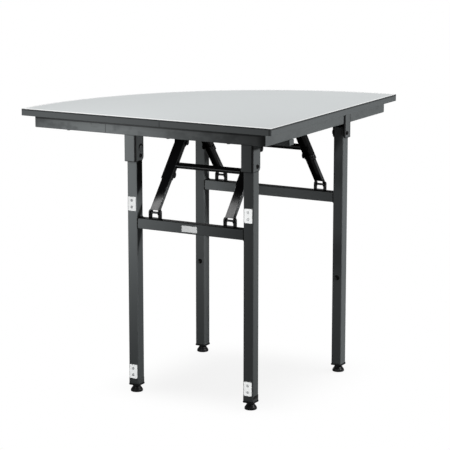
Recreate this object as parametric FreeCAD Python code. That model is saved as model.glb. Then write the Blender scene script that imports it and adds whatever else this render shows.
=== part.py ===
import FreeCAD, Part
import math
import os

# Quarter-round folding table: a laminated top on a welded tube frame, carried by two folding leg frames.
# All sizes are millimetres. Places are counted from the square corner of the top, with x running along
# the front straight edge (to the left is negative), y from the front edge to the back, and z from the
# floor. Each finished piece is then moved so that the origin lies on the floor, below the middle of the
# square that the top fits in.

# Top
top_radius = 760.0
table_height = 755.0
top_thickness = 18.0
laminate_thickness = 0.8
band_thickness = 2.0
band_edge_round = 0.7
corner_radius = 5.0
band_seam_place = 327.0
band_seam_width = 0.4

# Welded frame under the top
rail_width = 30.0
rail_height = 35.0
tube_wall = 1.5
tube_corner = 3.0
straight_setback = 35.0
arc_setback = 22.0
side_rail_end_setback = 8.0
brace_rail_width = 25.0
front_brace_rail_height = 15.0

# Leg frames
leg_size = 30.0
cross_rail_size = 28.0
front_leg_spacing = 350.0
back_leg_setback = 505.0
back_leg_arc_gap = 5.462
leg_pair_clearance = 2.7
layer_gap = 0.0
pivot_below_brace_rail = 41.0
leg_above_pivot = 16.0
pivot_to_clevis = 149.0

# Leg brackets and their pivot bolts
bracket_sheet = 2.0
bracket_bend = 3.0
bracket_web_offset = 25.0
bracket_free_edge = 16.0
bracket_below_pivot = 14.0
bracket_ear_round = 11.0
leg_play = 0.4
bolt_radius = 4.0
bolt_head_radius = 5.5
bolt_head_height = 3.5
bolt_socket_flats = 4.0
bolt_socket_depth = 2.0
bolt_tip = 1.0
nut_flats = 13.0
nut_height = 6.5
running_clearance = 0.05

# Folding braces: an upper and a lower channel link, each on a pin in a pair of ears
brace_rail_place = 120.0
brace_reach = 140.0
brace_inset = 62.0
link_sheet = 1.6
link_play = 0.4
upper_link_width = 30.0
link_open_depth = 1.5
link_web_depth = 11.5
link_bend = 1.2
lower_link_length = 118.0
link_end_radius = 8.0
link_neck = 14.0
upper_web_start = -10.0
lower_web_start = 3.0
link_tail_bevel = 2.0
upper_link_tail = 18.0
knee_lobe_radius = 9.5
knee_gap = 10.0
rivet_radius = 3.0
rivet_head_radius = 5.5
rivet_head_height = 3.0
tie_bar_above_knee = 27.0
tie_bar_width = 13.0
tie_bar_wall = 1.2
ear_sheet = 2.5
ear_radius = 8.0
ear_base_lip = 5.0
clevis_pin_height = 17.0
hanger_pin_height = 20.0
pin_radius = 3.0
pin_head_radius = 5.0
pin_head_height = 2.0

# Feet
foot_height = 19.0
cap_overhang = 1.5
cap_height = 5.0
cap_round = 1.5
cap_plug_length = 22.0
cap_plug_clearance = 0.2
glide_radius = 16.5
glide_edge_round = 2.0
glide_edge_height = 4.0
glide_shoulder_radius = 15.0
glide_shoulder_height = 8.0
glide_waist_radius = 12.0
glide_waist_height = 12.0
glide_neck_radius = 11.0
glide_stem_radius = 4.0
glide_stem_length = 24.0

# Wear pads on the front legs and rubber bumpers on the back legs
pad_width = 23.0
pad_length = 38.0
pad_thickness = 2.5
pad_corner = 2.5
pad_edge_round = 0.8
pad_low_place = 58.0
pad_high_above_rail = 38.0
pad_screw_spacing = 18.0
pad_screw_radius = 2.0
pad_screw_length = 8.0
pad_screw_head_radius = 3.6
pad_screw_head_height = 1.4
bumper_place = 271.0
bumper_radius = 7.0
bumper_height = 6.0
bumper_stem_radius = 2.5
bumper_stem_length = 6.0

# Screws that hold the frame to the top
frame_screw_radius = 2.5
frame_screw_head_radius = 5.0
frame_screw_head_height = 3.0
frame_screw_bite = 11.0
frame_screw_clearance = 0.1
front_rail_screws = (150.0, 330.0, 640.0)
side_rail_screws = (110.0, 300.0, 640.0)
arc_rail_screw_angles = (24.0, 60.0, 76.0)

# Heights and places that follow from the sizes above
underside = table_height - top_thickness
frame_bottom = underside - rail_height
front_brace_rail_bottom = frame_bottom - front_brace_rail_height
layer_step = leg_size + layer_gap
bracket_half = leg_size / 2 + leg_play + bracket_sheet
rail_inner = straight_setback + rail_width
arc_outer_radius = top_radius - arc_setback
arc_inner_radius = arc_outer_radius - rail_width
front_leg_y = straight_setback + bracket_web_offset
back_right_x = -(straight_setback + leg_play + leg_size / 2)
front_right_x = (back_right_x - leg_size / 2 - leg_pair_clearance
                 - bolt_head_height - bracket_half)
back_left_reach = math.sqrt((arc_inner_radius - back_leg_arc_gap) ** 2 - back_leg_setback ** 2)
back_leg_spacing = back_left_reach + back_right_x
leg_bottom = foot_height + cap_height
lower_link_width = upper_link_width - 2 * (link_sheet + link_play)
lower_web_depth = link_web_depth - link_sheet - link_play
brace_rise = pivot_to_clevis + pivot_below_brace_rail - hanger_pin_height
brace_length = math.hypot(brace_reach, brace_rise)
brace_angle = math.degrees(math.atan2(brace_rise, brace_reach))
upper_link_length = brace_length - lower_link_length

X = FreeCAD.Vector(1, 0, 0)
Y = FreeCAD.Vector(0, 1, 0)
Z = FreeCAD.Vector(0, 0, 1)
ORIGIN = FreeCAD.Vector(0, 0, 0)
to_origin = FreeCAD.Vector(top_radius / 2, -top_radius / 2, 0)
pieces = {}


def at(x, y, z):
    return FreeCAD.Vector(x, y, z)


def box(x_range, y_range, z_range):
    """A block between two places on each axis, given in any order."""
    low = [min(pair) for pair in (x_range, y_range, z_range)]
    size = [abs(pair[1] - pair[0]) for pair in (x_range, y_range, z_range)]
    return Part.makeBox(*size, at(*low))


def rod(radius, start, direction, length):
    return Part.makeCylinder(radius, length, start, direction)


def hexagon(flats, start, direction, length):
    """A hexagonal prism with the given width across its flats."""
    corner = flats / math.sqrt(3)
    turns = [math.radians(60 * step) for step in range(7)]
    wire = Part.makePolygon([at(corner * math.cos(t), corner * math.sin(t), 0) for t in turns])
    prism = Part.Face(wire).extrude(at(0, 0, length))
    prism.Placement = FreeCAD.Placement(start, FreeCAD.Rotation(Z, direction))
    return prism


def edges_along(shape, direction, test):
    """The straight edges that run along a direction and whose middle passes the test."""
    found = []
    for edge in shape.Edges:
        first, last = edge.Vertexes[0].Point, edge.Vertexes[-1].Point
        run = last - first
        if run.Length > 0 and abs(run.dot(direction)) > 0.999 * run.Length:
            if test((first + last) * 0.5):
                found.append(edge)
    return found


def near(value, target):
    return abs(value - target) < 0.01


def section(width, height, radius):
    """A rounded rectangle about the origin, across the X axis: width along Y and height along Z."""
    y, z = width / 2, height / 2
    y_in, z_in = y - radius, z - radius
    bow = radius * math.sqrt(0.5)
    sides = []
    for turn in range(4):
        half, half_in = (y, z_in) if turn % 2 == 0 else (z, y_in)
        other, other_in = (z, y_in) if turn % 2 == 0 else (y, z_in)
        points = [at(0, half, -half_in), at(0, half, half_in),
                  at(0, half - radius + bow, other - radius + bow), at(0, other_in, other)]
        points = [FreeCAD.Rotation(X, 90 * turn).multVec(point) for point in points]
        sides.append(Part.LineSegment(points[0], points[1]).toShape())
        sides.append(Part.Arc(points[1], points[2], points[3]).toShape())
    return Part.Wire(sides)


def tube_face(width, height, wall=tube_wall, corner=tube_corner):
    outer = Part.Face(section(width, height, corner))
    inner = Part.Face(section(width - 2 * wall, height - 2 * wall, max(corner - wall, wall / 4)))
    return outer.cut(inner)


def tube(length, width, height, **walls):
    """A hollow tube from the origin along +X."""
    return tube_face(width, height, **walls).extrude(at(length, 0, 0))


def keep(name, shape):
    """Stores a finished piece, moved to the part's own origin."""
    pieces[name] = shape.removeSplitter().translated(to_origin)


def group(shapes):
    return Part.makeCompound(shapes)


def sector(inset, radius, bottom, top):
    """The top's outline drawn in by an inset: two straight edges, the arc and three rounded corners."""
    arc = top_radius - inset
    reach = math.sqrt(arc ** 2 - inset ** 2)
    corner = at(-inset, inset, bottom)
    left = at(-reach, inset, bottom)
    back = at(-inset, reach, bottom)
    middle = at(-arc * math.sqrt(0.5), arc * math.sqrt(0.5), bottom)
    wire = Part.Wire([Part.LineSegment(left, corner).toShape(),
                      Part.LineSegment(corner, back).toShape(),
                      Part.Arc(back, middle, left).toShape()])
    solid = Part.Face(wire).extrude(at(0, 0, top - bottom))
    return solid.makeFillet(radius, edges_along(solid, Z, lambda middle: True))


# Top: a board core, a laminate sheet on it and an edge band all round
frame_screws = []
for distance in front_rail_screws:
    frame_screws.append((-distance, straight_setback + rail_width / 2))
for distance in side_rail_screws:
    frame_screws.append((-(straight_setback + rail_width / 2), distance))
for angle in arc_rail_screw_angles:
    middle_radius = arc_outer_radius - rail_width / 2
    turn = math.radians(angle)
    frame_screws.append((-middle_radius * math.cos(turn), middle_radius * math.sin(turn)))


def frame_screw_holes(radius):
    return group([rod(radius, at(x, y, frame_bottom - rail_height), Z,
                      2 * rail_height + frame_screw_bite) for x, y in frame_screws])


board_top = table_height - laminate_thickness
board = sector(band_thickness, corner_radius - band_thickness, underside, board_top)
keep("tabletop_core", board.cut(frame_screw_holes(frame_screw_radius)))
keep("laminate_sheet", sector(band_thickness, corner_radius - band_thickness, board_top, table_height))

band = sector(0.0, corner_radius, underside, table_height)
rims = [edge for edge in band.Edges if near(edge.BoundBox.ZMin, edge.BoundBox.ZMax)]
band = band.makeFillet(band_edge_round, rims)
band = band.cut(sector(band_thickness, corner_radius - band_thickness, underside, table_height))
seam = box((-band_seam_place, -band_seam_place - band_seam_width), (0, band_thickness),
           (underside, table_height))
keep("edge_band", band.cut(seam))

# Frame: two straight rails mitred at the square corner and closed at their far ends, a bent rail along
# the arc and two brace rails
rail_z = frame_bottom + rail_height / 2
screw_holes = frame_screw_holes(frame_screw_radius + frame_screw_clearance)
outer_corner = at(-straight_setback, straight_setback, frame_bottom)
inner_corner = at(-rail_inner, rail_inner, frame_bottom)


def mitre(third):
    wire = Part.makePolygon([outer_corner, inner_corner, third, outer_corner])
    return Part.Face(wire).extrude(at(0, 0, rail_height))


front_length = arc_outer_radius - straight_setback
rail_end = Part.Face(section(rail_width, rail_height, tube_corner))
front_rail = tube(front_length, rail_width, rail_height).fuse(rail_end.extrude(at(tube_wall, 0, 0)))
front_rail = front_rail.translated(at(-arc_outer_radius, straight_setback + rail_width / 2, rail_z))
front_rail = front_rail.cut(mitre(at(-straight_setback, rail_inner, frame_bottom)))
keep("front_rail", front_rail.cut(screw_holes))

side_end = top_radius - side_rail_end_setback
side_length = side_end - straight_setback
side_plate = rail_end.extrude(at(-tube_wall, 0, 0)).translated(at(side_length, 0, 0))
side_rail = tube(side_length, rail_width, rail_height).fuse(side_plate).rotated(ORIGIN, Z, 90)
side_rail = side_rail.translated(at(-straight_setback - rail_width / 2, straight_setback, rail_z))
side_rail = side_rail.cut(mitre(at(-rail_inner, straight_setback, frame_bottom)))
keep("side_rail", side_rail.cut(screw_holes))

arc_section = tube_face(rail_width, rail_height)
arc_section = arc_section.translated(at(0, arc_outer_radius - rail_width / 2, rail_z))
arc_rail = arc_section.revolve(ORIGIN, Z, 90)
arc_rail = arc_rail.common(box((-top_radius, -rail_inner), (rail_inner, top_radius),
                               (frame_bottom, underside)))
keep("arc_rail", arc_rail.cut(screw_holes))

# The front brace rail runs under the frame and ends in a closed face, flush with the side rail
front_brace_y = front_leg_y + brace_rail_place
front_brace_z = frame_bottom - front_brace_rail_height / 2
front_brace_rail = tube(arc_outer_radius, brace_rail_width, front_brace_rail_height)
front_brace_rail = front_brace_rail.translated(at(-arc_outer_radius - straight_setback,
                                                  front_brace_y, front_brace_z))
front_brace_rail = front_brace_rail.common(rod(arc_outer_radius, ORIGIN, Z, table_height))
end_plate = Part.Face(section(brace_rail_width, front_brace_rail_height, tube_corner))
end_plate = end_plate.extrude(at(-tube_wall, 0, 0))
end_plate = end_plate.translated(at(-straight_setback, front_brace_y, front_brace_z))
keep("front_brace_rail", front_brace_rail.fuse(end_plate))

# The back brace rail lies against the top, between the side rail and the arc rail
back_brace_y = back_leg_setback - brace_rail_place
back_brace_rail_bottom = front_brace_rail_bottom + layer_step
back_brace_height = underside - back_brace_rail_bottom
back_brace_rail = tube(top_radius, brace_rail_width, back_brace_height)
back_brace_rail = back_brace_rail.translated(at(-top_radius - rail_inner, back_brace_y,
                                                underside - back_brace_height / 2))
keep("back_brace_rail", back_brace_rail.common(rod(arc_inner_radius, ORIGIN, Z, table_height)))

screws = []
for x, y in frame_screws:
    shank = rod(frame_screw_radius, at(x, y, frame_bottom), Z, rail_height + frame_screw_bite)
    head = rod(frame_screw_head_radius, at(x, y, frame_bottom), -Z, frame_screw_head_height)
    rim = [edge for edge in head.Edges if near(edge.BoundBox.ZMax, frame_bottom - frame_screw_head_height)]
    screws.append(shank.fuse(head.makeFillet(frame_screw_head_height / 2, rim)).removeSplitter())
keep("frame_screws", group(screws))


def leg_bracket(x, y, pivot_z, web_side, straddles_rail):
    """A folded sheet bracket: a web before or behind the leg, two flanges beside it and a seat on top."""
    outer = y + web_side * bracket_web_offset
    inner = outer - web_side * bracket_sheet
    free = y - web_side * bracket_free_edge
    bottom = pivot_z - bracket_below_pivot
    top = underside if straddles_rail else frame_bottom
    inside = bracket_half - bracket_sheet
    shape = box((x - bracket_half, x + bracket_half), (outer, free), (bottom, top))
    bends = edges_along(shape, Z, lambda middle: near(middle.y, outer))
    shape = shape.makeFillet(bracket_bend, bends)
    ears = edges_along(shape, X, lambda middle: near(middle.y, free) and near(middle.z, bottom))
    shape = shape.makeFillet(bracket_ear_round, ears)
    if straddles_rail:
        shape = shape.cut(box((x - inside, x + inside), (inner, free), (bottom, top)))
        shape = shape.cut(box((x - inside, x + inside), (outer, inner), (frame_bottom, top)))
    else:
        shape = shape.cut(box((x - inside, x + inside), (inner, free), (bottom, top - bracket_sheet)))
    return shape.cut(rod(bolt_radius + running_clearance, at(x - bracket_half, y, pivot_z), X,
                         2 * bracket_half))


def pivot_bolt(x, y, z):
    """A button-head bolt through a bracket and its leg, with its head to the right."""
    left = x - bracket_half
    shank = rod(bolt_radius, at(left - nut_height - bolt_tip, y, z), X,
                2 * bracket_half + nut_height + bolt_tip)
    head = rod(bolt_head_radius, at(x + bracket_half, y, z), X, bolt_head_height)
    crown = x + bracket_half + bolt_head_height
    rim = [edge for edge in head.Edges if near(edge.BoundBox.XMin, crown)]
    head = head.makeFillet(bolt_head_height * 0.7, rim)
    socket = hexagon(bolt_socket_flats, at(crown - bolt_socket_depth, y, z), X, bolt_socket_depth)
    return shank.fuse(head).cut(socket).removeSplitter()


def pivot_nut(x, y, z):
    nut = hexagon(nut_flats, at(x - bracket_half, y, z), -X, nut_height)
    return nut.cut(rod(bolt_radius + running_clearance, at(x - bracket_half, y, z), -X, nut_height))


def ear_bracket(x, y, base_y, seat_z, side, pin_height, inside):
    """A pair of ears on a base plate, on top of a rail (side 1) or under one (side -1). The base plate
    and a low lip on each side of it reach from the ears to base_y."""
    pin_z = seat_z + side * pin_height
    outside = inside + ear_sheet
    shape = box((x - outside, x + outside), (y - ear_radius, y + ear_radius), (seat_z, pin_z))
    base = box((x - outside, x + outside), (base_y, y), (seat_z, seat_z + side * ear_base_lip))
    shape = shape.fuse([base, rod(ear_radius, at(x - outside, y, pin_z), X, 2 * outside)]).removeSplitter()
    ends = (min(base_y, y - ear_radius), max(base_y, y + ear_radius))
    clear_top = seat_z + side * (pin_height + ear_radius)
    shape = shape.cut(box((x - inside, x + inside), ends, (seat_z + side * ear_sheet, clear_top)))
    return shape.cut(rod(pin_radius + running_clearance, at(x - outside, y, pin_z), X, 2 * outside))


def hinge_pin(x, y, z, inside):
    """A pin through a pair of ears with a rounded head at each end."""
    outside = inside + ear_sheet
    shape = rod(pin_radius, at(x - outside, y, z), X, 2 * outside)
    for side in (-1, 1):
        head = rod(pin_head_radius, at(x + side * outside, y, z), X * side, pin_head_height)
        crown = x + side * (outside + pin_head_height)
        rim = [edge for edge in head.Edges
               if near(edge.BoundBox.XMin, crown) and near(edge.BoundBox.XMax, crown)]
        shape = shape.fuse(head.makeFillet(pin_head_height * 0.7, rim))
    return shape.removeSplitter()


def channel_link(width, length, web_depth, web_side, web_start, lobe_at):
    """A channel link along +Y from its pin at the origin, with its web on the +Z or -Z side. The web
    starts before or after the pin, and the flanges end in a round eye about it."""
    half = width / 2
    web_inner = web_depth - link_sheet
    outline = [(0, -link_end_radius), (link_neck, -link_open_depth),
               (length - link_tail_bevel, -link_open_depth), (length, link_tail_bevel - link_open_depth),
               (length, web_depth), (web_start, web_depth), (web_start, web_inner),
               (-link_end_radius, 0)]
    points = [at(-half, s, n * web_side) for s, n in outline]
    plate = Part.Face(Part.makePolygon(points + points[:1])).extrude(at(width, 0, 0))
    plate = plate.fuse(rod(link_end_radius, at(-half, 0, 0), X, width))
    if lobe_at:
        plate = plate.fuse(rod(knee_lobe_radius, at(-half, lobe_at, 0), X, width))
    plate = plate.removeSplitter()
    bends = edges_along(plate, Y, lambda middle: near(middle.z, web_side * web_depth))
    plate = plate.makeFillet(link_bend, bends)
    inside = half - link_sheet
    deep = 2 * max(knee_lobe_radius, link_open_depth)
    end = min(web_start, 0) - link_end_radius
    plate = plate.cut(box((-inside, inside), (end, length), (web_side * web_inner, -web_side * deep)))
    plate = plate.cut(box((-inside, inside), (end, web_start), (-web_side * deep, web_side * web_depth)))
    plate = plate.cut(rod(pin_radius + running_clearance, at(-half, 0, 0), X, width))
    if lobe_at:
        plate = plate.cut(rod(rivet_radius + running_clearance, at(-half, lobe_at, 0), X, width))
    return plate


def placed(shape, turn, x, y, z):
    """Turns a piece about the X axis and moves it to its pivot."""
    return shape.rotated(ORIGIN, X, turn).translated(at(x, y, z))


def knee_rivet(side):
    """The outer half of a knee rivet: a head on a link's flange and a shank as long as the sheet."""
    flange = upper_link_width / 2
    shank = rod(rivet_radius, at(side * (flange - link_sheet), 0, 0), X * side, link_sheet)
    head = rod(rivet_head_radius, at(side * flange, 0, 0), X * side, rivet_head_height)
    crown = side * (flange + rivet_head_height)
    rim = [edge for edge in head.Edges
           if near(edge.BoundBox.XMin, crown) and near(edge.BoundBox.XMax, crown)]
    return shank.fuse(head.makeFillet(rivet_head_height * 0.7, rim)).removeSplitter()


def end_cap(x, y):
    """A moulded cap under the leg with a plug inside the tube and a hole for the glide's stem."""
    size = leg_size + 2 * cap_overhang
    flange = Part.Face(section(size, size, tube_corner + cap_overhang)).extrude(at(cap_height, 0, 0))
    rims = [edge for edge in flange.Edges if near(edge.BoundBox.XMin, edge.BoundBox.XMax)]
    flange = flange.makeFillet(cap_round, rims)
    plug_size = leg_size - 2 * (tube_wall + cap_plug_clearance)
    plug = Part.Face(section(plug_size, plug_size, tube_corner - tube_wall)).extrude(at(cap_plug_length, 0, 0))
    shape = flange.fuse(plug.translated(at(cap_height, 0, 0))).rotated(ORIGIN, Y, -90)
    shape = shape.translated(at(x, y, foot_height))
    hole = rod(glide_stem_radius + running_clearance, at(x, y, foot_height), Z, cap_height + cap_plug_length)
    return shape.cut(hole)


def glide(x, y):
    """A bell-shaped levelling glide with a flat bottom, and a stem that slides in the cap."""
    low_round = glide_radius - glide_edge_round
    bow = glide_edge_round * (1 - math.sqrt(0.5))
    bell = Part.BSplineCurve()
    bell.interpolate([at(glide_radius, 0, glide_edge_height),
                      at(glide_shoulder_radius, 0, glide_shoulder_height),
                      at(glide_waist_radius, 0, glide_waist_height), at(glide_neck_radius, 0, foot_height)])
    edges = [Part.LineSegment(ORIGIN, at(low_round, 0, 0)),
             Part.Arc(at(low_round, 0, 0), at(glide_radius - bow, 0, bow),
                      at(glide_radius, 0, glide_edge_round)),
             Part.LineSegment(at(glide_radius, 0, glide_edge_round), at(glide_radius, 0, glide_edge_height)),
             bell,
             Part.LineSegment(at(glide_neck_radius, 0, foot_height), at(0, 0, foot_height)),
             Part.LineSegment(at(0, 0, foot_height), ORIGIN)]
    shape = Part.Face(Part.Wire([edge.toShape() for edge in edges])).revolve(ORIGIN, Z, 360)
    stem = rod(glide_stem_radius, at(0, 0, foot_height), Z, glide_stem_length)
    return shape.fuse(stem).removeSplitter().translated(at(x, y, 0))


def wear_pad(x, face_y, z):
    """A moulded plate on the front of a leg, with two screw holes."""
    plate = Part.Face(section(pad_width, pad_length, pad_corner)).extrude(at(pad_thickness, 0, 0))
    plate = plate.rotated(ORIGIN, Z, -90)
    front = [edge for edge in plate.Edges if near(edge.BoundBox.YMax, -pad_thickness)]
    plate = plate.makeFillet(pad_edge_round, front)
    plate = plate.translated(at(x, face_y, z))
    holes = [rod(pad_screw_radius + running_clearance, at(x, face_y, z + step), -Y, pad_thickness)
             for step in (-pad_screw_spacing / 2, pad_screw_spacing / 2)]
    return plate.cut(group(holes))


def pad_screw(x, face_y, z):
    head = rod(pad_screw_head_radius, at(x, face_y - pad_thickness, z), -Y, pad_screw_head_height)
    crown = face_y - pad_thickness - pad_screw_head_height
    rim = [edge for edge in head.Edges if near(edge.BoundBox.YMax, crown)]
    head = head.makeFillet(pad_screw_head_height * 0.6, rim)
    shank = rod(pad_screw_radius, at(x, face_y - pad_thickness, z), Y, pad_screw_length)
    return head.fuse(shank).removeSplitter()


def bumper(x, face_y, z):
    """A rubber dome pressed into a hole in the front of a leg."""
    opening = 2 * math.atan(bumper_height / bumper_radius)
    ball = bumper_radius / math.sin(opening)
    apex, rim = at(0, -bumper_height, 0), at(bumper_radius, 0, 0)
    bow = at(ball * math.sin(opening / 2), ball * (1 - math.cos(opening / 2)) - bumper_height, 0)
    corners = [rim, at(bumper_stem_radius, 0, 0), at(bumper_stem_radius, bumper_stem_length, 0),
               at(0, bumper_stem_length, 0), apex]
    edges = [Part.Arc(apex, bow, rim).toShape()]
    edges += [Part.LineSegment(a, b).toShape() for a, b in zip(corners, corners[1:])]
    return Part.Face(Part.Wire(edges)).revolve(ORIGIN, Y, 360).translated(at(x, face_y, z))


def leg_frame(name, side, right_x, spacing, y, brace_rail_bottom, straddles):
    """One pair of legs with its brackets, cross rail, braces and feet. Side is 1 where the feet fold
    to the back and -1 where they fold to the front."""
    pivot_z = brace_rail_bottom - pivot_below_brace_rail
    clevis_z = pivot_z - pivot_to_clevis
    rail_top = clevis_z - clevis_pin_height
    left_x = right_x - spacing
    hanger_y = y + side * brace_reach
    hanger_base = y + side * (brace_rail_place - ear_radius)
    hanger_z = brace_rail_bottom - hanger_pin_height
    upper_turn = -90 - side * (90 - brace_angle)
    lower_turn = upper_turn + 180
    upper_inside = upper_link_width / 2 + link_play
    lower_inside = lower_link_width / 2 + link_play
    front_face = y - leg_size / 2
    bolts, nuts, hanger_pins, clevis_pins, rivets = [], [], [], [], []
    upper = channel_link(upper_link_width, upper_link_length + upper_link_tail, link_web_depth,
                         -side, upper_web_start, upper_link_length)
    lower = channel_link(lower_link_width, lower_link_length - knee_gap, lower_web_depth,
                         side, lower_web_start, None)

    for hand, x, inward in (("left", left_x, 1), ("right", right_x, -1)):
        leg = tube(pivot_z + leg_above_pivot - leg_bottom, leg_size, leg_size).rotated(ORIGIN, Y, -90)
        leg = leg.translated(at(x, y, leg_bottom))
        leg = leg.cut(rod(bolt_radius + running_clearance, at(x - leg_size, y, pivot_z), X, 2 * leg_size))
        if side > 0:
            for pad_name, pad_z in (("lower", pad_low_place), ("upper", rail_top + pad_high_above_rail)):
                keep(f"{name}_{hand}_{pad_name}_pad", wear_pad(x, front_face, pad_z))
                for step in (-pad_screw_spacing / 2, pad_screw_spacing / 2):
                    pad_screws.append(pad_screw(x, front_face, pad_z + step))
                    leg = leg.cut(rod(pad_screw_radius + running_clearance, at(x, front_face, pad_z + step),
                                      Y, leg_size / 2))
        else:
            keep(f"{name}_{hand}_bumper", bumper(x, front_face, bumper_place))
            leg = leg.cut(rod(bumper_stem_radius, at(x, front_face, bumper_place), Y, leg_size / 2))
        keep(f"{name}_{hand}_leg", leg)
        keep(f"{name}_{hand}_cap", end_cap(x, y))
        keep(f"{name}_{hand}_glide", glide(x, y))
        keep(f"{name}_{hand}_bracket", leg_bracket(x, y, pivot_z, -side, straddles and hand == "right"))
        bolts.append(pivot_bolt(x, y, pivot_z))
        nuts.append(pivot_nut(x, y, pivot_z))

        brace_x = x + inward * brace_inset
        keep(f"{name}_{hand}_clevis", ear_bracket(brace_x, y, y - ear_radius, rail_top, 1,
                                                  clevis_pin_height, lower_inside))
        clevis_pins.append(hinge_pin(brace_x, y, clevis_z, lower_inside))
        keep(f"{name}_{hand}_hanger", ear_bracket(brace_x, hanger_y, hanger_base, brace_rail_bottom, -1,
                                                  hanger_pin_height, upper_inside))
        hanger_pins.append(hinge_pin(brace_x, hanger_y, hanger_z, upper_inside))
        keep(f"{name}_{hand}_upper_link", placed(upper, upper_turn, brace_x, hanger_y, hanger_z))
        keep(f"{name}_{hand}_lower_link", placed(lower, lower_turn, brace_x, y, clevis_z))
        for flange in (-1, 1):
            rivet = knee_rivet(flange).translated(at(0, upper_link_length, 0))
            rivets.append(placed(rivet, upper_turn, brace_x, hanger_y, hanger_z))

    rail = tube(spacing - leg_size, cross_rail_size, cross_rail_size)
    keep(f"{name}_cross_rail", rail.translated(at(left_x + leg_size / 2, y, rail_top - cross_rail_size / 2)))
    tie_length = spacing - 2 * brace_inset - upper_link_width
    tie_depth = link_web_depth + link_open_depth
    tie = tube(tie_length, tie_bar_width, tie_depth, wall=tie_bar_wall, corner=tie_bar_wall * 1.5)
    tie_middle = -side * (link_web_depth - link_open_depth) / 2
    tie = tie.translated(at(-tie_length / 2, upper_link_length - tie_bar_above_knee, tie_middle))
    keep(f"{name}_tie_bar", placed(tie, upper_turn, (left_x + right_x) / 2, hanger_y, hanger_z))
    keep(f"{name}_clevis_pins", group(clevis_pins))
    keep(f"{name}_hanger_pins", group(hanger_pins))
    keep(f"{name}_knee_rivets", group(rivets))
    pivot_bolts.extend(bolts)
    pivot_nuts.extend(nuts)


pivot_bolts, pivot_nuts, pad_screws = [], [], []
leg_frame("front", 1, front_right_x, front_leg_spacing, front_leg_y, front_brace_rail_bottom, False)
leg_frame("back", -1, back_right_x, back_leg_spacing, back_leg_setback, back_brace_rail_bottom, True)
keep("leg_pivot_bolts", group(pivot_bolts))
keep("leg_pivot_nuts", group(pivot_nuts))
keep("pad_screws", group(pad_screws))

os.makedirs("parts", exist_ok=True)
for name, shape in pieces.items():
    shape.exportStep(f"parts/{name}.step")
print(len(pieces), "pieces; brace length", round(brace_length, 3), "angle", round(brace_angle, 3))
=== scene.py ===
import math
import bpy
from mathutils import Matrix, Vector


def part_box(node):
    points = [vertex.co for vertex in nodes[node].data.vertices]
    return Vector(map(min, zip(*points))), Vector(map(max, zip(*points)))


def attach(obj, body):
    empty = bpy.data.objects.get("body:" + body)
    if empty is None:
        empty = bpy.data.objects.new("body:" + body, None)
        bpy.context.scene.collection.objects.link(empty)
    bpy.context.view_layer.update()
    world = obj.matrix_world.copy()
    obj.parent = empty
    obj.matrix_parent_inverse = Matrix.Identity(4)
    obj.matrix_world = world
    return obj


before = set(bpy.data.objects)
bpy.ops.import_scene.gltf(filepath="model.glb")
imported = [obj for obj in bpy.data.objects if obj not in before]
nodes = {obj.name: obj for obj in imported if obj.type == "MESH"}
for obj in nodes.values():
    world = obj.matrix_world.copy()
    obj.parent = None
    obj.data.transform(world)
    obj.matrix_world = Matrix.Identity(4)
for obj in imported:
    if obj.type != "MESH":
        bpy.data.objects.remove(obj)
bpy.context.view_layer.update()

bpy.ops.object.select_all(action="DESELECT")


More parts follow.
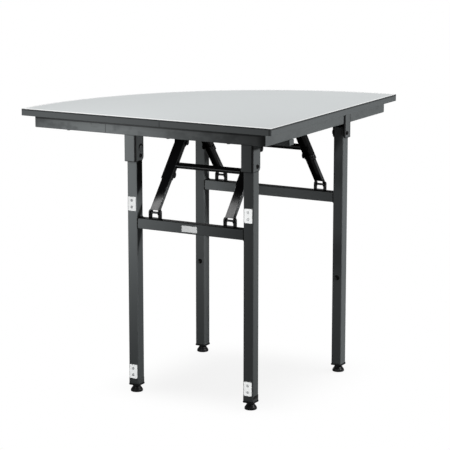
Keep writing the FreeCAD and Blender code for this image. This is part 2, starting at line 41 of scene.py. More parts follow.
# Laminate sheet: pale grey melamine laminate pressed on the board, with a fine satin texture.
# A painted highlight runs round its edges as a bright rim, widest along the front.
class Shade:
    def __init__(self, tree, socket=None):
        self.tree = tree
        self.socket = socket

    def set_inputs(self, made, values):
        for key, value in values.items():
            if isinstance(value, Shade):
                self.tree.links.new(value.socket, made.inputs[key])
            else:
                made.inputs[key].default_value = value

    def node(self, kind, settings, values, output=0):
        made = self.tree.nodes.new(kind)
        for key, value in settings.items():
            setattr(made, key, value)
        self.set_inputs(made, values)
        return Shade(self.tree, made.outputs[output])

    def calculate(self, operation, first, second=0.0):
        return self.node("ShaderNodeMath", {"operation": operation}, {0: first, 1: second})

    def __add__(self, other):
        return self.calculate("ADD", self, other)

    def __radd__(self, other):
        return self.calculate("ADD", other, self)

    def __sub__(self, other):
        return self.calculate("SUBTRACT", self, other)

    def __rsub__(self, other):
        return self.calculate("SUBTRACT", other, self)

    def __mul__(self, other):
        return self.calculate("MULTIPLY", self, other)

    def __rmul__(self, other):
        return self.calculate("MULTIPLY", other, self)

    def __pow__(self, other):
        return self.calculate("POWER", self, other)

    def place(self, axis=None):
        spot = self.node("ShaderNodeTexCoord", {}, {}, "Object")
        if axis is None:
            return spot
        return self.node("ShaderNodeSeparateXYZ", {}, {0: spot}, axis)

    def grain(self, scale, detail=3.0, stretch=(1.0, 1.0, 1.0)):
        spot = self.node("ShaderNodeMapping", {}, {"Vector": self.place(), "Scale": stretch})
        return self.node("ShaderNodeTexNoise", {}, {"Vector": spot, "Scale": scale, "Detail": detail})

    def step(self, value, low, high):
        settings = {"interpolation_type": "SMOOTHSTEP"}
        return self.node("ShaderNodeMapRange", settings, {"Value": value, "From Min": low, "From Max": high})

    # 1 from an edge to the full distance from it, then down to 0 at the faded distance
    def near_low(self, value, edge, full, faded):
        return 1.0 - self.step(value, edge + full, edge + faded)

    def near_high(self, value, edge, full, faded):
        return self.step(value, edge - faded, edge - full)

    def most(self, first, *others):
        for other in others:
            first = self.calculate("MAXIMUM", first, other)
        return first

    def away(self, value, middle):
        return self.calculate("ABSOLUTE", value - middle)

    def reach(self, first, second):
        return (first * first + second * second) ** 0.5

    def mix(self, share, first, second):
        return self.node("ShaderNodeMix", {"data_type": "RGBA"}, {0: share, 6: first, 7: second}, 2)

    def bump(self, height, strength, distance):
        values = {"Height": height, "Strength": strength, "Distance": distance}
        return self.node("ShaderNodeBump", {}, values)

    def edges(self, radius):
        soft = self.node("ShaderNodeBevel", {"samples": 4}, {"Radius": radius})
        sharp = self.node("ShaderNodeNewGeometry", {}, {}, "Normal")
        turn = self.node("ShaderNodeVectorMath", {"operation": "DOT_PRODUCT"}, {0: soft, 1: sharp}, "Value")
        return self.step(turn, 0.97, 0.75)

    def surface(self, values):
        self.set_inputs(self.tree.nodes["Principled BSDF"], values)


def start_finish(name):
    finish = bpy.data.materials.new(name)
    finish.use_nodes = True
    return finish, Shade(finish.node_tree)


def paint(finish, *names):
    for name in names:
        nodes[name].data.materials.clear()
        nodes[name].data.materials.append(finish)


laminate_grey = (0.62, 0.645, 0.65, 1)
laminate_pale = (0.66, 0.685, 0.69, 1)
laminate_highlight = (0.97, 0.98, 0.98, 1)
square_corner_x = 0.378
square_corner_y = -0.378
laminate_radius = 0.756
laminate, shade = start_finish("laminate")
from_side = square_corner_x - shade.place(0)
from_front = shade.place(1) - square_corner_y
from_arc = laminate_radius - shade.reach(from_side, from_front)
from_edge = shade.calculate("MINIMUM", from_side, from_arc)
# Painted highlight: a bright rim round the sheet's edges, widest along the front.
front_highlight = shade.near_low(from_front, 0.0, full=0.010, faded=0.014)
edge_highlight = shade.near_low(from_edge, 0.0, full=0.003, faded=0.008)
rim_highlight = shade.most(front_highlight, edge_highlight)
clouds = shade.grain(5.0)
speckle = shade.grain(900.0, 2.0)
tone = shade.mix(clouds * 0.6 + speckle * 0.4, laminate_grey, laminate_pale)
shade.surface({
    "Base Color": shade.mix(rim_highlight, tone, laminate_highlight),
    "Roughness": 0.5 + speckle * 0.12 - rim_highlight * 0.1,
    "Specular IOR Level": 0.12,
    "Normal": shade.bump(speckle, 0.12, 0.0002),
})
paint(laminate, "laminate_sheet")


# Board core: brown particle board under the laminate, seen only from below.
# Pressed from chips, sealed with a thin clear coat.
board_dark = (0.17, 0.11, 0.065, 1)
board_light = (0.34, 0.24, 0.15, 1)
board, shade = start_finish("board")
chips = shade.node("ShaderNodeTexVoronoi", {}, {"Vector": shade.place(), "Scale": 260.0}, "Color")
chip_tone = shade.node("ShaderNodeSeparateXYZ", {}, {0: chips}, 0)
dust = shade.grain(700.0)
shade.surface({
    "Base Color": shade.mix(chip_tone * 0.6 + dust * 0.4, board_dark, board_light),
    "Roughness": 0.6 + dust * 0.2,
    "Normal": shade.bump(chip_tone + dust, 0.2, 0.0003),
})
paint(board, "tabletop_core")


# Edge band: charcoal plastic strip, 2 mm thick, glued round the board and rounded over.
# Extruded with a fine matt grain. It is darker along its upper edge, where it was scraped flush, and at the
# seam of the strip in front; painted shade darkens its front face beside the square corner.
band_grey = (0.090, 0.097, 0.099, 1)
band_line = (0.084, 0.091, 0.093, 1)
band_dark = (0.035, 0.038, 0.039, 1)
band_seam_x = 0.0528
corner_shade = 0.9
band_low, band_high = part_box("edge_band")
edge_band, shade = start_finish("edge_band")
lines = shade.grain(60.0, 2.0, (1.0, 1.0, 40.0))
pores = shade.grain(2600.0, 1.0)
across, along, upward = shade.place(0), shade.place(1), shade.place(2)
scraped = shade.near_high(upward, band_high.z, full=0.003, faded=0.0042)
in_front = shade.near_low(along, band_low.y, full=0.005, faded=0.01)
from_seam = shade.away(across, band_seam_x)
near_seam = shade.near_low(from_seam, 0.0, full=0.0006, faded=0.0014) * in_front
# Painted shade on the front face just short of the square corner.
painted_corner_shade = shade.near_high(across, band_high.x, full=0.0075, faded=0.0095)
painted_corner_shade = painted_corner_shade - shade.near_high(across, band_high.x, full=0.001, faded=0.0035)
painted_corner_shade = painted_corner_shade * in_front * corner_shade
shade.surface({
    "Base Color": shade.mix(shade.most(scraped, near_seam, painted_corner_shade),
                            shade.mix(lines, band_line, band_grey), band_dark),
    "Roughness": 0.55 + pores * 0.14,
    "Specular IOR Level": 0.14,
    "Normal": shade.bump(pores + lines, 0.12, 0.0002),
})
paint(edge_band, "edge_band")


# Frame rails, legs and cross rails: welded steel tube, in a baked charcoal powder coat with a slight peel.
# It is smudged on the rails and dark at the front rail's seam. Painted shade darkens the right legs' fronts,
# the front cross rail all over, the cross rails' tops and the front rail's right end; painted shadow falls
# below the top's overhang and high inside the front left leg.
coat_grey = (0.096, 0.104, 0.106, 1)
coat_pale = (0.106, 0.114, 0.116, 1)
coat_edge = (0.15, 0.16, 0.162, 1)
coat_dark = (0.008, 0.0085, 0.009, 1)
coat_smudge_and_shade = (0.076, 0.082, 0.084, 1)
coat_gloss = 0.14
dull_gloss = 0.05


def coat_steel(shade, dark=0.0, smudge_and_shade=0.0, gloss=coat_gloss):
    peel = shade.grain(1300.0, 2.0)
    streaks = shade.grain(9.0, 4.0)
    worn = shade.edges(0.0012) * shade.step(shade.grain(70.0), 0.35, 0.75)
    tone = shade.mix(smudge_and_shade, shade.mix(streaks, coat_grey, coat_pale), coat_smudge_and_shade)
    tone = shade.mix(worn * 0.6, tone, coat_edge)
    shade.surface({
        "Base Color": shade.mix(dark, tone, coat_dark),
        "Roughness": 0.6 + streaks * 0.1 + peel * 0.06,
        "Specular IOR Level": gloss,
        "Normal": shade.bump(peel, 0.15, 0.0002),
    })


rail_seam_x = -0.134
overhang_shade = 0.7
seam_shade = 0.6
rail_end_shade = 0.85
hidden_rail_smudge = 0.4
rail_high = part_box("front_rail")[1]
for rail in ("front_rail", "side_rail", "arc_rail", "front_brace_rail", "back_brace_rail"):
    rail_coat, shade = start_finish(rail + "_coat")
    smudge_and_shade = shade.step(shade.grain(30.0, 3.0, (1.0, 1.0, 1.6)), 0.46, 0.66)
    if rail == "front_rail":
        across, upward = shade.place(0), shade.place(2)
        from_seam = shade.away(across, rail_seam_x)
        # Painted shadow below the top's overhang and painted shade at the right end; the seam is a dark
        # line.
        overhang_shadow = shade.near_high(upward, rail_high.z, full=0.0095, faded=0.0115) * overhang_shade
        near_seam = shade.near_low(from_seam, 0.0, full=0.0006, faded=0.0016) * seam_shade
        painted_end_shade = shade.near_high(across, rail_high.x, full=0.004, faded=0.03) * rail_end_shade
        coat_steel(shade, shade.most(overhang_shadow, near_seam, painted_end_shade), smudge_and_shade)
    else:
        coat_steel(shade, 0.0, smudge_and_shade * hidden_rail_smudge)
    paint(rail_coat, rail)

face_full = 0.0003
face_faded = 0.0008
front_face_shade = 0.75
powder_coat, shade = start_finish("powder_coat")
coat_steel(shade)
paint(powder_coat, "back_left_leg")
for leg, gloss in (("front_right_leg", coat_gloss), ("back_right_leg", dull_gloss)):
    leg_coat, shade = start_finish(leg + "_coat")
    # Painted shade on the right legs' front faces.
    front_face = shade.near_low(shade.place(1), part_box(leg)[0].y, face_full, face_faded)
    coat_steel(shade, 0.0, front_face * front_face_shade, gloss)
    paint(leg_coat, leg)

shade_foot = 0.545
shade_full = 0.562
shade_slope = 0.83
low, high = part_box("front_left_leg")
shaded_coat, shade = start_finish("shaded_coat")
# Painted shadow high on the inner face, ending in a slanted line.
inner_face = shade.near_high(shade.place(0), high.x, face_full, face_faded)
slanted = shade.place(2) - (shade.place(1) - (low.y + high.y) / 2) * shade_slope
coat_steel(shade, inner_face * shade.step(slanted, shade_foot, shade_full), 0.0, dull_gloss)
paint(shaded_coat, "front_left_leg")

# Painted shade on each cross rail's top, and over the whole front cross rail.
for side, smudge_and_shade in (("front", 0.55), ("back", 0.0)):
    cross_rail = side + "_cross_rail"
    cross_coat, shade = start_finish(side + "_cross_coat")
    upper_face = shade.near_high(shade.place(2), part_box(cross_rail)[1].z, full=0.0004, faded=0.0012)
    coat_steel(shade, upper_face, smudge_and_shade, dull_gloss)
    paint(cross_coat, cross_rail)


# Leg brackets: folded from sheet steel, welded to the rails and coated with them.
# Painted shade darkens the bend beside the web, the lower edge and the sawn free edges.
for side in ("front", "back"):
    for hand in ("left", "right"):
        bracket = f"{side}_{hand}_bracket"
        low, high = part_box(bracket)
        bracket_coat, shade = start_finish(bracket + "_coat")
        across, along, upward = shade.place(0), shade.place(1), shade.place(2)
        # Painted shade on the lower edge, in the bend beside the web and on the free edges.
        lower_edge = shade.near_low(upward, low.z, full=0.001, faded=0.002)
        bend = shade.near_high(across, high.x, full=0.0035, faded=0.005)
        if side == "front":
            bend = bend * shade.near_low(along, low.y, full=0.003, faded=0.006)
            free_edge = shade.near_high(along, high.y, full=0.0006, faded=0.0012)
            gloss = coat_gloss
        else:
            bend = bend * shade.near_high(along, high.y, full=0.003, faded=0.006)
            free_edge = shade.near_low(along, low.y, full=0.0085, faded=0.0095)
            gloss = dull_gloss
        coat_steel(shade, shade.most(bend, free_edge, lower_edge), 0.0, gloss)
        paint(bracket_coat, bracket)


# Weld beads: each cross rail is welded to its legs all round, under the coat.
# Bead laid in ripples; its near-black colour is painted shade in the corner between rail and leg.
bead_size = 0.0284
bead_corner = 0.003
bead_thickness = 0.0017
bead_mean = 0.9
bead_ripple = 0.25
bead_turn = 1.9
weld_dark = (0.006, 0.006, 0.006, 1)
weld_grey = (0.014, 0.015, 0.015, 1)
weld_coat, shade = start_finish("weld_coat")
ripple = shade.grain(600.0, 2.0)
shade.surface({
    "Base Color": shade.mix(ripple, weld_dark, weld_grey),
    "Roughness": 0.55 + ripple * 0.2,
    "Specular IOR Level": 0.14,
    "Normal": shade.bump(ripple, 0.3, 0.0003),
})


def start_piece(name):
    piece = bpy.context.object
    piece.name = name
    piece.data.name = name
    return piece


def copy_piece(piece, name, move):
    bpy.ops.object.select_all(action="DESELECT")
    piece.select_set(True)
    bpy.context.view_layer.objects.active = piece
    bpy.ops.object.duplicate()
    copied = start_piece(name)
    bpy.ops.transform.translate(value=move)
    bpy.ops.object.transform_apply(location=True, rotation=True, scale=True)
    return copied


def end_piece(piece, finish, body):
    piece.data.materials.clear()
    piece.data.materials.append(finish)
    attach(piece, body)
    bpy.ops.object.select_all(action="DESELECT")


front_low, front_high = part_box("front_cross_rail")
back_low, back_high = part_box("back_cross_rail")
bead_place = Vector((front_low.x, (front_low.y + front_high.y) / 2, (front_low.z + front_high.z) / 2))
bpy.ops.mesh.primitive_plane_add(size=bead_size, location=bead_place, rotation=(0, math.radians(90), 0))
bead = start_piece("front_left_weld")
bpy.ops.object.transform_apply(location=True, rotation=True, scale=True)
bpy.ops.object.mode_set(mode="EDIT")
bpy.ops.mesh.select_all(action="SELECT")
bpy.ops.mesh.delete(type="ONLY_FACE")
bpy.ops.mesh.select_all(action="SELECT")
bpy.ops.mesh.bevel(offset=bead_corner, segments=3, affect="VERTICES")
bpy.ops.mesh.select_all(action="SELECT")
bpy.ops.mesh.subdivide(number_cuts=7)
bpy.ops.object.mode_set(mode="OBJECT")
bpy.ops.object.convert(target="CURVE")
bead = start_piece("front_left_weld")
bead.data.bevel_depth = bead_thickness
bead.data.bevel_resolution = 2
for count, point in enumerate(bead.data.splines[0].points):
    point.radius = bead_mean + bead_ripple * math.sin(count * bead_turn)
bpy.ops.object.convert(target="MESH")
bead = start_piece("front_left_weld")
bpy.ops.object.mode_set(mode="EDIT")
bpy.ops.mesh.select_all(action="SELECT")
bpy.ops.mesh.remove_doubles(threshold=0.00002)
bpy.ops.mesh.normals_make_consistent(inside=False)
bpy.ops.object.mode_set(mode="OBJECT")
bpy.ops.object.shade_smooth()
backward = back_low.y - front_low.y
raised = back_low.z - front_low.z
right_bead = copy_piece(bead, "front_right_weld", (front_high.x - front_low.x, 0, 0))
back_left_bead = copy_piece(bead, "back_left_weld", (back_low.x - front_low.x, backward, raised))
back_right_bead = copy_piece(bead, "back_right_weld", (back_high.x - front_low.x, backward, raised))
end_piece(bead, weld_coat, "front_legs")
end_piece(right_bead, weld_coat, "front_legs")
end_piece(back_left_bead, weld_coat, "back_legs")
end_piece(back_right_bead, weld_coat, "back_legs")


# Label plate: a bare aluminium plate stuck to the front cross rail, with a raised rim.
# Stamped from sheet with rounded corners and brushed along its length.
plate_low = Vector((0.092, -0.3346, 0.457))
plate_high = Vector((0.138, -0.334, 0.474))
plate_corner = 0.002
plate_rim = 0.0007
plate_slope = 0.0003
plate_sunk = 0.0002
plate_pale = (0.43, 0.437, 0.437, 1)
plate_shade = (0.33, 0.337, 0.337, 1)
label_plate, shade = start_finish("label_plate")
brushed = shade.grain(250.0, 2.0, (0.05, 1.0, 8.0))
shade.surface({
    "Base Color": shade.mix(brushed, plate_pale, plate_shade),
    "Metallic": 0.25,
    "Roughness": 0.35 + brushed * 0.15,
    "Normal": shade.bump(brushed, 0.08, 0.0001),
})
bpy.ops.mesh.primitive_cube_add(size=1.0, location=(plate_low + plate_high) / 2)
plate = start_piece("blank_label_plate")
plate.scale = plate_high - plate_low
bpy.ops.object.transform_apply(location=True, rotation=True, scale=True)
bpy.ops.object.mode_set(mode="EDIT")
bpy.ops.mesh.select_mode(type="EDGE")
bpy.ops.mesh.select_all(action="DESELECT")
bpy.ops.object.mode_set(mode="OBJECT")
for edge in plate.data.edges:
    first, last = (plate.data.vertices[number].co for number in edge.vertices)
    edge.select = abs(first.y - last.y) > (plate_high.y - plate_low.y) / 2
bpy.ops.object.mode_set(mode="EDIT")
bpy.ops.mesh.bevel(offset=plate_corner, segments=4, affect="EDGES")
bpy.ops.object.mode_set(mode="OBJECT")
for face in plate.data.polygons:
    face.select = face.normal.y < -0.9
bpy.ops.object.mode_set(mode="EDIT")
bpy.ops.mesh.select_mode(type="FACE")
bpy.ops.mesh.inset(thickness=plate_rim, depth=0.0)
bpy.ops.mesh.inset(thickness=plate_slope, depth=-plate_sunk)
bpy.ops.object.mode_set(mode="OBJECT")
end_piece(plate, label_plate, "front_legs")


# Stop rivets: a wide hollow rivet above the pivot on the inner flange of each left bracket.
# Turned from steel tube, its end rolled over into a ring against the sheet. The front one is coated with
# its bracket, darker all over, with painted shade along its upper rim; the back one is set back, clear of
# its pivot bolt's head.
rivet_radius = 0.011
rivet_height = 0.0014
rivet_ring = 0.003
rivet_sunk = 0.0008
rivet_round = 0.0005
rivet_above_edge = 0.035
rivet_behind_leg = 0.003
back_rivet_backward = 0.005
back_rivet_lower = 0.006
rivet_darkening = 0.5
low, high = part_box("front_left_bracket")
leg_low, leg_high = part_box("front_left_leg")
rivet_place = Vector((high.x + rivet_height / 2, (leg_low.y + leg_high.y) / 2 + rivet_behind_leg,
                      low.z + rivet_above_edge))
bpy.ops.mesh.primitive_cylinder_add(vertices=40, radius=rivet_radius, depth=rivet_height,
                                    location=rivet_place, rotation=(0, math.radians(90), 0))
rivet = start_piece("front_stop_rivet")
bpy.ops.object.transform_apply(location=True, rotation=True, scale=True)
for face in rivet.data.polygons:
    face.select = face.normal.x > 0.9
bpy.ops.object.mode_set(mode="EDIT")
bpy.ops.mesh.select_mode(type="FACE")
bpy.ops.mesh.inset(thickness=rivet_ring, depth=0.0)
bpy.ops.mesh.extrude_region_move(TRANSFORM_OT_translate={"value": (-rivet_sunk, 0, 0)})
bpy.ops.object.mode_set(mode="OBJECT")
rolled = rivet.modifiers.new("rolled", "BEVEL")
rolled.width = rivet_round
rolled.segments = 3
bpy.ops.object.modifier_apply(modifier="rolled")
bpy.ops.object.shade_smooth_by_angle(angle=math.radians(35))
back_low, back_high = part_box("back_left_bracket")
back_leg_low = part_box("back_left_leg")[0]
back_rivet_move = (back_high.x - high.x, back_leg_low.y - leg_low.y + back_rivet_backward,
                   back_low.z - low.z - back_rivet_lower)
back_rivet = copy_piece(rivet, "back_stop_rivet", back_rivet_move)
rivet_coat, shade = start_finish("rivet_coat")
along = shade.place(1) - rivet_place.y
upward = shade.place(2) - (rivet_place.z - rivet_radius * 0.4)
# Painted shade along the front rivet's upper rim.
upper_rim = shade.step(shade.reach(along, upward), rivet_radius * 0.85, rivet_radius)
coat_steel(shade, upper_rim, rivet_darkening)
end_piece(rivet, rivet_coat, "table")
end_piece(back_rivet, weld_coat, "table")


# Screws, bolts, nuts and pins: blackened steel, turned and rolled, with bright metal on the corners.
# The leg pivot bolts are dipped in oil and stay black.
steel_black = (0.03, 0.031, 0.033, 1)
steel_bright = (0.3, 0.3, 0.29, 1)
blackened_steel, shade = start_finish("blackened_steel")
stains = shade.grain(160.0)
wear_and_sheen = shade.edges(0.0006) * shade.step(stains, 0.4, 0.7)
shade.surface({
    "Base Color": shade.mix(wear_and_sheen * 0.7, steel_black, steel_bright),
    "Metallic": 0.85,
    "Roughness": 0.32 + stains * 0.2,
    "Normal": shade.bump(stains, 0.1, 0.0002),
})
paint(blackened_steel, "frame_screws", "leg_pivot_nuts")
for side in ("front", "back"):
    paint(blackened_steel, side + "_clevis_pins", side + "_hanger_pins", side + "_knee_rivets")
oiled_black = (0.003, 0.003, 0.003, 1)
oiled_grey = (0.01, 0.01, 0.011, 1)
pivot_steel, shade = start_finish("pivot_steel")
stains = shade.grain(160.0)
shade.surface({
    "Base Color": shade.mix(stains, oiled_black, oiled_grey),
    "Roughness": 0.4 + stains * 0.2,
    "Specular IOR Level": 0.1,
    "Normal": shade.bump(stains, 0.1, 0.0002),
})
paint(pivot_steel, "leg_pivot_bolts")


# Braces: channel links, tie bars, clevises and hangers folded from sheet steel.
# Stove-enamelled black, glossy, with small runs. The links' outer flanges carry a painted grey sheen, least
# on the back right, and the tie bars' front corners a painted grey reflection.
enamel_black = (0.002, 0.002, 0.0022, 1)
enamel_grey = (0.006, 0.006, 0.0065, 1)
enamel_sheen = (0.075, 0.078, 0.08, 1)
enamel_gloss = 0.07
tie_gloss = 0.01
back_right_sheen = {"upper_link": 0.06, "lower_link": 0.35}


def enamel(shade, wear_and_sheen=0.0, gloss=enamel_gloss):
    runs = shade.grain(45.0, 2.0)
    dust = shade.grain(600.0)
    shade.surface({
        "Base Color": shade.mix(wear_and_sheen, shade.mix(dust, enamel_black, enamel_grey), enamel_sheen),
        "Roughness": 0.14 + runs * 0.1,
        "Specular IOR Level": gloss,
        "Normal": shade.bump(runs, 0.08, 0.0006),
    })


black_enamel, shade = start_finish("black_enamel")
enamel(shade)
for side in ("front", "back"):
    tie_bar = side + "_tie_bar"
    tie_enamel, shade = start_finish(side + "_tie_enamel")
    # Painted reflection: a grey line along the tie bar's front corner.
    front_corner = shade.near_low(shade.place(1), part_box(tie_bar)[0].y, full=0.0002, faded=0.0008)
    enamel(shade, front_corner, tie_gloss)
    paint(tie_enamel, tie_bar)
    for hand in ("left", "right"):
        paint(black_enamel, f"{side}_{hand}_clevis", f"{side}_{hand}_hanger")
        for link in ("upper_link", "lower_link"):
            name = f"{side}_{hand}_{link}"
            low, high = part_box(name)
            link_enamel, shade = start_finish(name + "_enamel")
            # Painted sheen on the link's outer flange faces, weaker on the back right.
            from_middle = shade.away(shade.place(0), (low.x + high.x) / 2)
            wear_and_sheen = shade.near_high(from_middle, (high.x - low.x) / 2, face_full, face_faded)
            if side == "back" and hand == "right":
                wear_and_sheen = wear_and_sheen * back_right_sheen[link]
            enamel(shade, wear_and_sheen)
            paint(link_enamel, name)


# Wear pads: white moulded plastic blocks screwed to the front legs.
# The folded frames rest on them; the screws are pale zinc-plated.
pad_white = (0.68, 0.69, 0.69, 1)
pad_grey = (0.61, 0.62, 0.62, 1)
pad_names = [f"front_{hand}_{level}_pad" for hand in ("left", "right") for level in ("lower", "upper")]
wear_pad, shade = start_finish("wear_pad")
scuffs = shade.grain(120.0, 4.0, (1.0, 1.0, 0.2))
shade.surface({
    "Base Color": shade.mix(scuffs, pad_white, pad_grey),
    "Roughness": 0.4 + scuffs * 0.2,
    "Normal": shade.bump(scuffs, 0.1, 0.0002),
})
paint(wear_pad, *pad_names)
zinc_dark = (0.2, 0.205, 0.21, 1)
zinc_pale = (0.32, 0.325, 0.33, 1)
zinc_plate, shade = start_finish("zinc_plate")
spangle = shade.grain(900.0)
shade.surface({
    "Base Color": shade.mix(spangle, zinc_dark, zinc_pale),
    "Metallic": 0.6,
    "Roughness": 0.35 + spangle * 0.2,
    "Normal": shade.bump(spangle, 0.1, 0.0001),
})
paint(zinc_plate, "pad_screws")


# Bumpers: black rubber buttons pressed into the back legs, to meet the folded front frame.
# Moulded, dull; their faces are dusty, with painted shade as a black crescent on the upper right.
rubber_black = (0.003, 0.003, 0.003, 1)
rubber_dusty = (0.075, 0.08, 0.081, 1)
for bumper in ("back_left_bumper", "back_right_bumper"):
    low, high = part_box(bumper)
    middle = (low + high) / 2
    radius = (high.z - low.z) / 2
    bumper_rubber, shade = start_finish(bumper + "_rubber")
    skin = shade.grain(800.0)
    # Painted shade: a black crescent on the upper right of each face.
    across = shade.place(0) - (middle.x - radius * 0.6)
    upward = shade.place(2) - (middle.z - radius * 0.4)
    painted_crescent_shade = shade.step(shade.reach(across, upward), radius * 0.8, radius * 0.95)
    dusty = shade.mix(skin * 0.3, rubber_dusty, rubber_black)
    shade.surface({
        "Base Color": shade.mix(painted_crescent_shade, dusty, rubber_black),
        "Roughness": 0.6 + skin * 0.2,
        "Specular IOR Level": 0.04,
        "Normal": shade.bump(skin, 0.15, 0.0002),
    })
    paint(bumper_rubber, bumper)


# End caps and levelling glides: black moulded plastic.
# Satin skin, scuffed to grey where the glides touch the floor.
plastic_black = (0.010, 0.010, 0.011, 1)
plastic_scuffed = (0.045, 0.045, 0.045, 1)
black_plastic, shade = start_finish("black_plastic")
skin = shade.grain(900.0, 2.0)
near_floor = shade.near_low(shade.place(2), 0.0, full=0.0, faded=0.012)
scuffed = near_floor * shade.step(shade.grain(220.0), 0.4, 0.7)
shade.surface({
    "Base Color": shade.mix(scuffed, plastic_black, plastic_scuffed),
    "Roughness": 0.3 + skin * 0.12 + scuffed * 0.2,
    "Specular IOR Level": 0.16,
    "Normal": shade.bump(skin, 0.12, 0.0002),
})
for side in ("front", "back"):
    for hand in ("left", "right"):
        paint(black_plastic, f"{side}_{hand}_cap", f"{side}_{hand}_glide")


# Leg end collars: charcoal plastic sleeves below the lower pads, round the front legs' ends.
# Extruded tube, pushed on and held by the rim of the end cap; the right one has a band of painted shade on
# its outer face.
collar_dark = (0.01, 0.01, 0.01, 1)
collar_grey = (0.07, 0.075, 0.076, 1)
collar_pale = (0.085, 0.091, 0.092, 1)
collar_height = 0.0142
collar_sheet = 0.0006
collar_corner = 0.003
collar_round = 0.0002
low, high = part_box("front_left_leg")
right_low, right_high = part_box("front_right_leg")
collar_plastic, shade = start_finish("collar_plastic")
skin = shade.grain(900.0, 2.0)
# Painted shade in a band near the top of the right collar's outer face.
outer_face = shade.step(shade.place(0), right_high.x, right_high.x + 0.0004)
painted_band_shade = outer_face * shade.near_high(shade.place(2), low.z + collar_height, full=0.007, faded=0.009)
shade.surface({
    "Base Color": shade.mix(painted_band_shade, shade.mix(skin, collar_grey, collar_pale), collar_dark),
    "Roughness": 0.45 + skin * 0.15,
    "Specular IOR Level": 0.12,
    "Normal": shade.bump(skin, 0.12, 0.0002),
})
middle = (low + high) / 2
bpy.ops.mesh.primitive_plane_add(size=high.x - low.x, location=(middle.x, middle.y, low.z))
collar = start_piece("front_left_cap_collar")
bpy.ops.object.transform_apply(location=True, rotation=True, scale=True)
bpy.ops.object.mode_set(mode="EDIT")
bpy.ops.mesh.select_mode(type="VERT")
bpy.ops.mesh.select_all(action="SELECT")
bpy.ops.mesh.bevel(offset=collar_corner, segments=4, affect="VERTICES")
bpy.ops.mesh.select_all(action="SELECT")
bpy.ops.mesh.delete(type="ONLY_FACE")
bpy.ops.mesh.select_all(action="SELECT")
bpy.ops.mesh.extrude_region_move(TRANSFORM_OT_translate={"value": (0, 0, collar_height)})
bpy.ops.mesh.select_all(action="SELECT")
bpy.ops.mesh.normals_make_consistent(inside=False)
bpy.ops.object.mode_set(mode="OBJECT")
sheet = collar.modifiers.new("sheet", "SOLIDIFY")
sheet.thickness = 2 * collar_sheet
sheet.offset = 0.0
bpy.ops.object.modifier_apply(modifier="sheet")
soft = collar.modifiers.new("soft", "BEVEL")
soft.width = collar_round
soft.segments = 2
bpy.ops.object.modifier_apply(modifier="soft")
bpy.ops.object.shade_smooth_by_angle(angle=math.radians(35))
right_collar = copy_piece(collar, "front_right_cap_collar", right_low - low)
end_piece(collar, collar_plastic, "front_legs")
end_piece(right_collar, collar_plastic, "front_legs")


# Studio: a white floor that keeps a faint shadow between the legs, a white world and the camera.
# Soft lamps above, at the right, at the left front and behind give the main shades. A lamp that names
# pieces lights only these, so that each face gets its own shade.
white = (1, 1, 1, 1)
floor_grey = (0.12, 0.12, 0.12, 1)
floor_mirrored = 0.3
shadow_share = 0.13
shadow_left = (-0.22, 0.02)
shadow_right = (0.28, 0.52)
shadow_front = (-0.45, -0.25)
shadow_back = (0.08, 0.34)
bpy.ops.mesh.primitive_plane_add(size=60.0, location=(0, 0, 0))
floor = bpy.context.object
floor.name = "floor"


def shown_rays(shade, mirror_share):
    seen = shade.node("ShaderNodeLightPath", {}, {}, "Is Camera Ray")
    mirrored = shade.node("ShaderNodeLightPath", {}, {}, "Is Glossy Ray")
    through = shade.node("ShaderNodeLightPath", {}, {}, "Is Transmission Ray")
    return shade.most(seen, mirrored * mirror_share, through)


floor_paint, shade = start_finish("floor_paint")
across, along = shade.place(0), shade.place(1)
between_sides = shade.step(across, *shadow_left) * (1.0 - shade.step(across, *shadow_right))
between_legs = between_sides * shade.step(along, *shadow_front) * (1.0 - shade.step(along, *shadow_back))
shown = shown_rays(shade, floor_mirrored)
lit_floor = shade.node("ShaderNodeBsdfDiffuse", {}, {"Color": shade.mix(shown, floor_grey, white)})
white_floor = shade.node("ShaderNodeEmission", {}, {"Color": white, "Strength": 1.0})
white_share = shown * (1.0 - between_legs * shadow_share)
floor_surface = shade.node("ShaderNodeMixShader", {}, {0: white_share, 1: lit_floor, 2: white_floor})
shade.set_inputs(shade.tree.nodes["Material Output"], {"Surface": floor_surface})
floor.data.materials.append(floor_paint)


def soft_light(name, place, aim, size, power, spread=180, pieces=None):
    bpy.ops.object.light_add(type="AREA", location=place)
    lamp = bpy.context.object
    lamp.name = name
    lamp.data.shape = "RECTANGLE"
    lamp.data.size, lamp.data.size_y = size
    lamp.data.energy = power
    lamp.data.spread = math.radians(spread)
    lamp.rotation_euler = (Vector(aim) - Vector(place)).to_track_quat("-Z", "Y").to_euler()
    lamp.visible_camera = False
    if pieces:
        lit = bpy.data.collections.new(name + "_pieces")
        for piece in pieces:
            lit.objects.link(piece)
        lamp.light_linking.receiver_collection = lit


table_pieces = [piece for piece in bpy.context.scene.objects if piece.type == "MESH" and piece != floor]


def named(*names):
    return [nodes[name] for name in names]


def all_but(pieces):
    return [piece for piece in table_pieces if piece not in pieces]


side_pieces = named("side_rail", "back_right_bracket", "back_right_leg", "edge_band")
far_pieces = named("edge_band", "back_right_leg")
cross_rails = named("front_cross_rail", "back_cross_rail")
top_pieces = named("laminate_sheet")
pale_pieces = named(*pad_names, "pad_screws") + [plate]

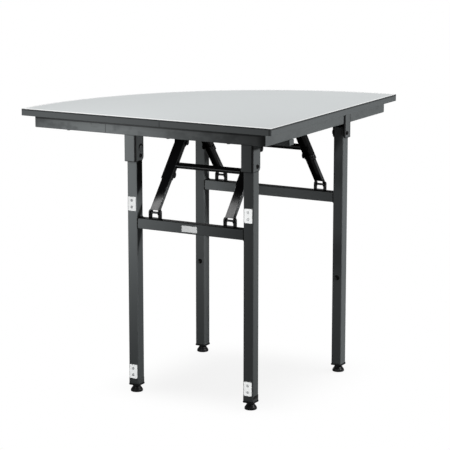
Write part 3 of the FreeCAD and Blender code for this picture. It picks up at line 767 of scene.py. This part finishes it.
soft_light("light_above", (0.3, 0.3, 3.4), (0.1, 0, 0.755), size=(3.0, 3.0), power=88.0)
soft_light("light_floor", (0.1, 0.0, 3.4), (0.1, 0, 0), size=(2.0, 2.0), power=110.0, pieces=[floor])
soft_light("light_right", (1.7, 0.0, 1.22), (0.2, 0.7, 0.9), size=(0.22, 0.22), power=20.8, spread=140,
           pieces=all_but(cross_rails + side_pieces + top_pieces))
soft_light("light_side_rail", (2.6, 0.0, 0.9), (0.34, 0, 0.72), size=(0.5, 0.5), power=56.0,
           pieces=side_pieces)
soft_light("light_left", (-0.16, -0.84, 0.7), (-0.16, 0, 0.68), size=(0.15, 0.64), power=1.68, spread=105,
           pieces=all_but(pale_pieces + far_pieces))
soft_light("light_front", (-0.4, -1.24, 0.75), (-0.4, 0, 0.746), size=(0.2, 0.2), power=6.5,
           pieces=far_pieces)
soft_light("light_cross_rail", (-0.06, -0.22, 0.42), (-0.04, 0.11, 0.496), size=(0.1, 0.1), power=0.42,
           pieces=named("back_cross_rail"))
soft_light("light_back", (-2.6, 2.4, 1.1), (0, 0, 0.5), size=(1.2, 1.2), power=45.0,
           pieces=all_but(top_pieces))
soft_light("light_bracket", (0.14, -0.27, 0.655), (-0.04, -0.32, 0.665), size=(0.05, 0.05), power=0.14,
           pieces=named("front_left_bracket", "leg_pivot_bolts") + [rivet])
soft_light("light_pads", (0.116, -1.6, 0.29), (0.116, -0.335, 0.29), size=(0.5, 0.5), power=19.0,
           pieces=pale_pieces)
soft_light("light_feet", (0.116, -0.75, 0.05), (0.116, -0.335, 0.05), size=(0.1, 0.1), power=0.26,
           pieces=named("front_left_leg", "front_right_leg") + [collar, right_collar])
soft_light("light_braces", (-1.44, -1.38, 2.9), (0, -0.32, 0.53), size=(0.7, 0.7), power=52.0,
           pieces=named("front_left_lower_link", "front_right_lower_link"))

world_light = 0.11
world_mirrored = 0.25
world = bpy.data.worlds.new("studio")
bpy.context.scene.world = world
world.use_nodes = True
shade = Shade(world.node_tree)
strength = world_light + shown_rays(shade, world_mirrored) * (1.0 - world_light)
shade.set_inputs(world.node_tree.nodes["Background"], {"Color": white, "Strength": strength})

camera_place = Vector((2.62098, -4.63765, 1.478858))
camera_turn = math.radians(29.13956)
camera_tilt = math.radians(11.375927)
camera_lens = 155.648
bpy.ops.object.camera_add(location=camera_place)
camera = bpy.context.object
camera.name = "camera"
camera.rotation_euler = (math.radians(90) - camera_tilt, 0, camera_turn)
camera.data.lens = camera_lens
camera.data.sensor_width = 36.0
bpy.context.scene.camera = camera
bpy.context.scene.view_settings.view_transform = "Standard"
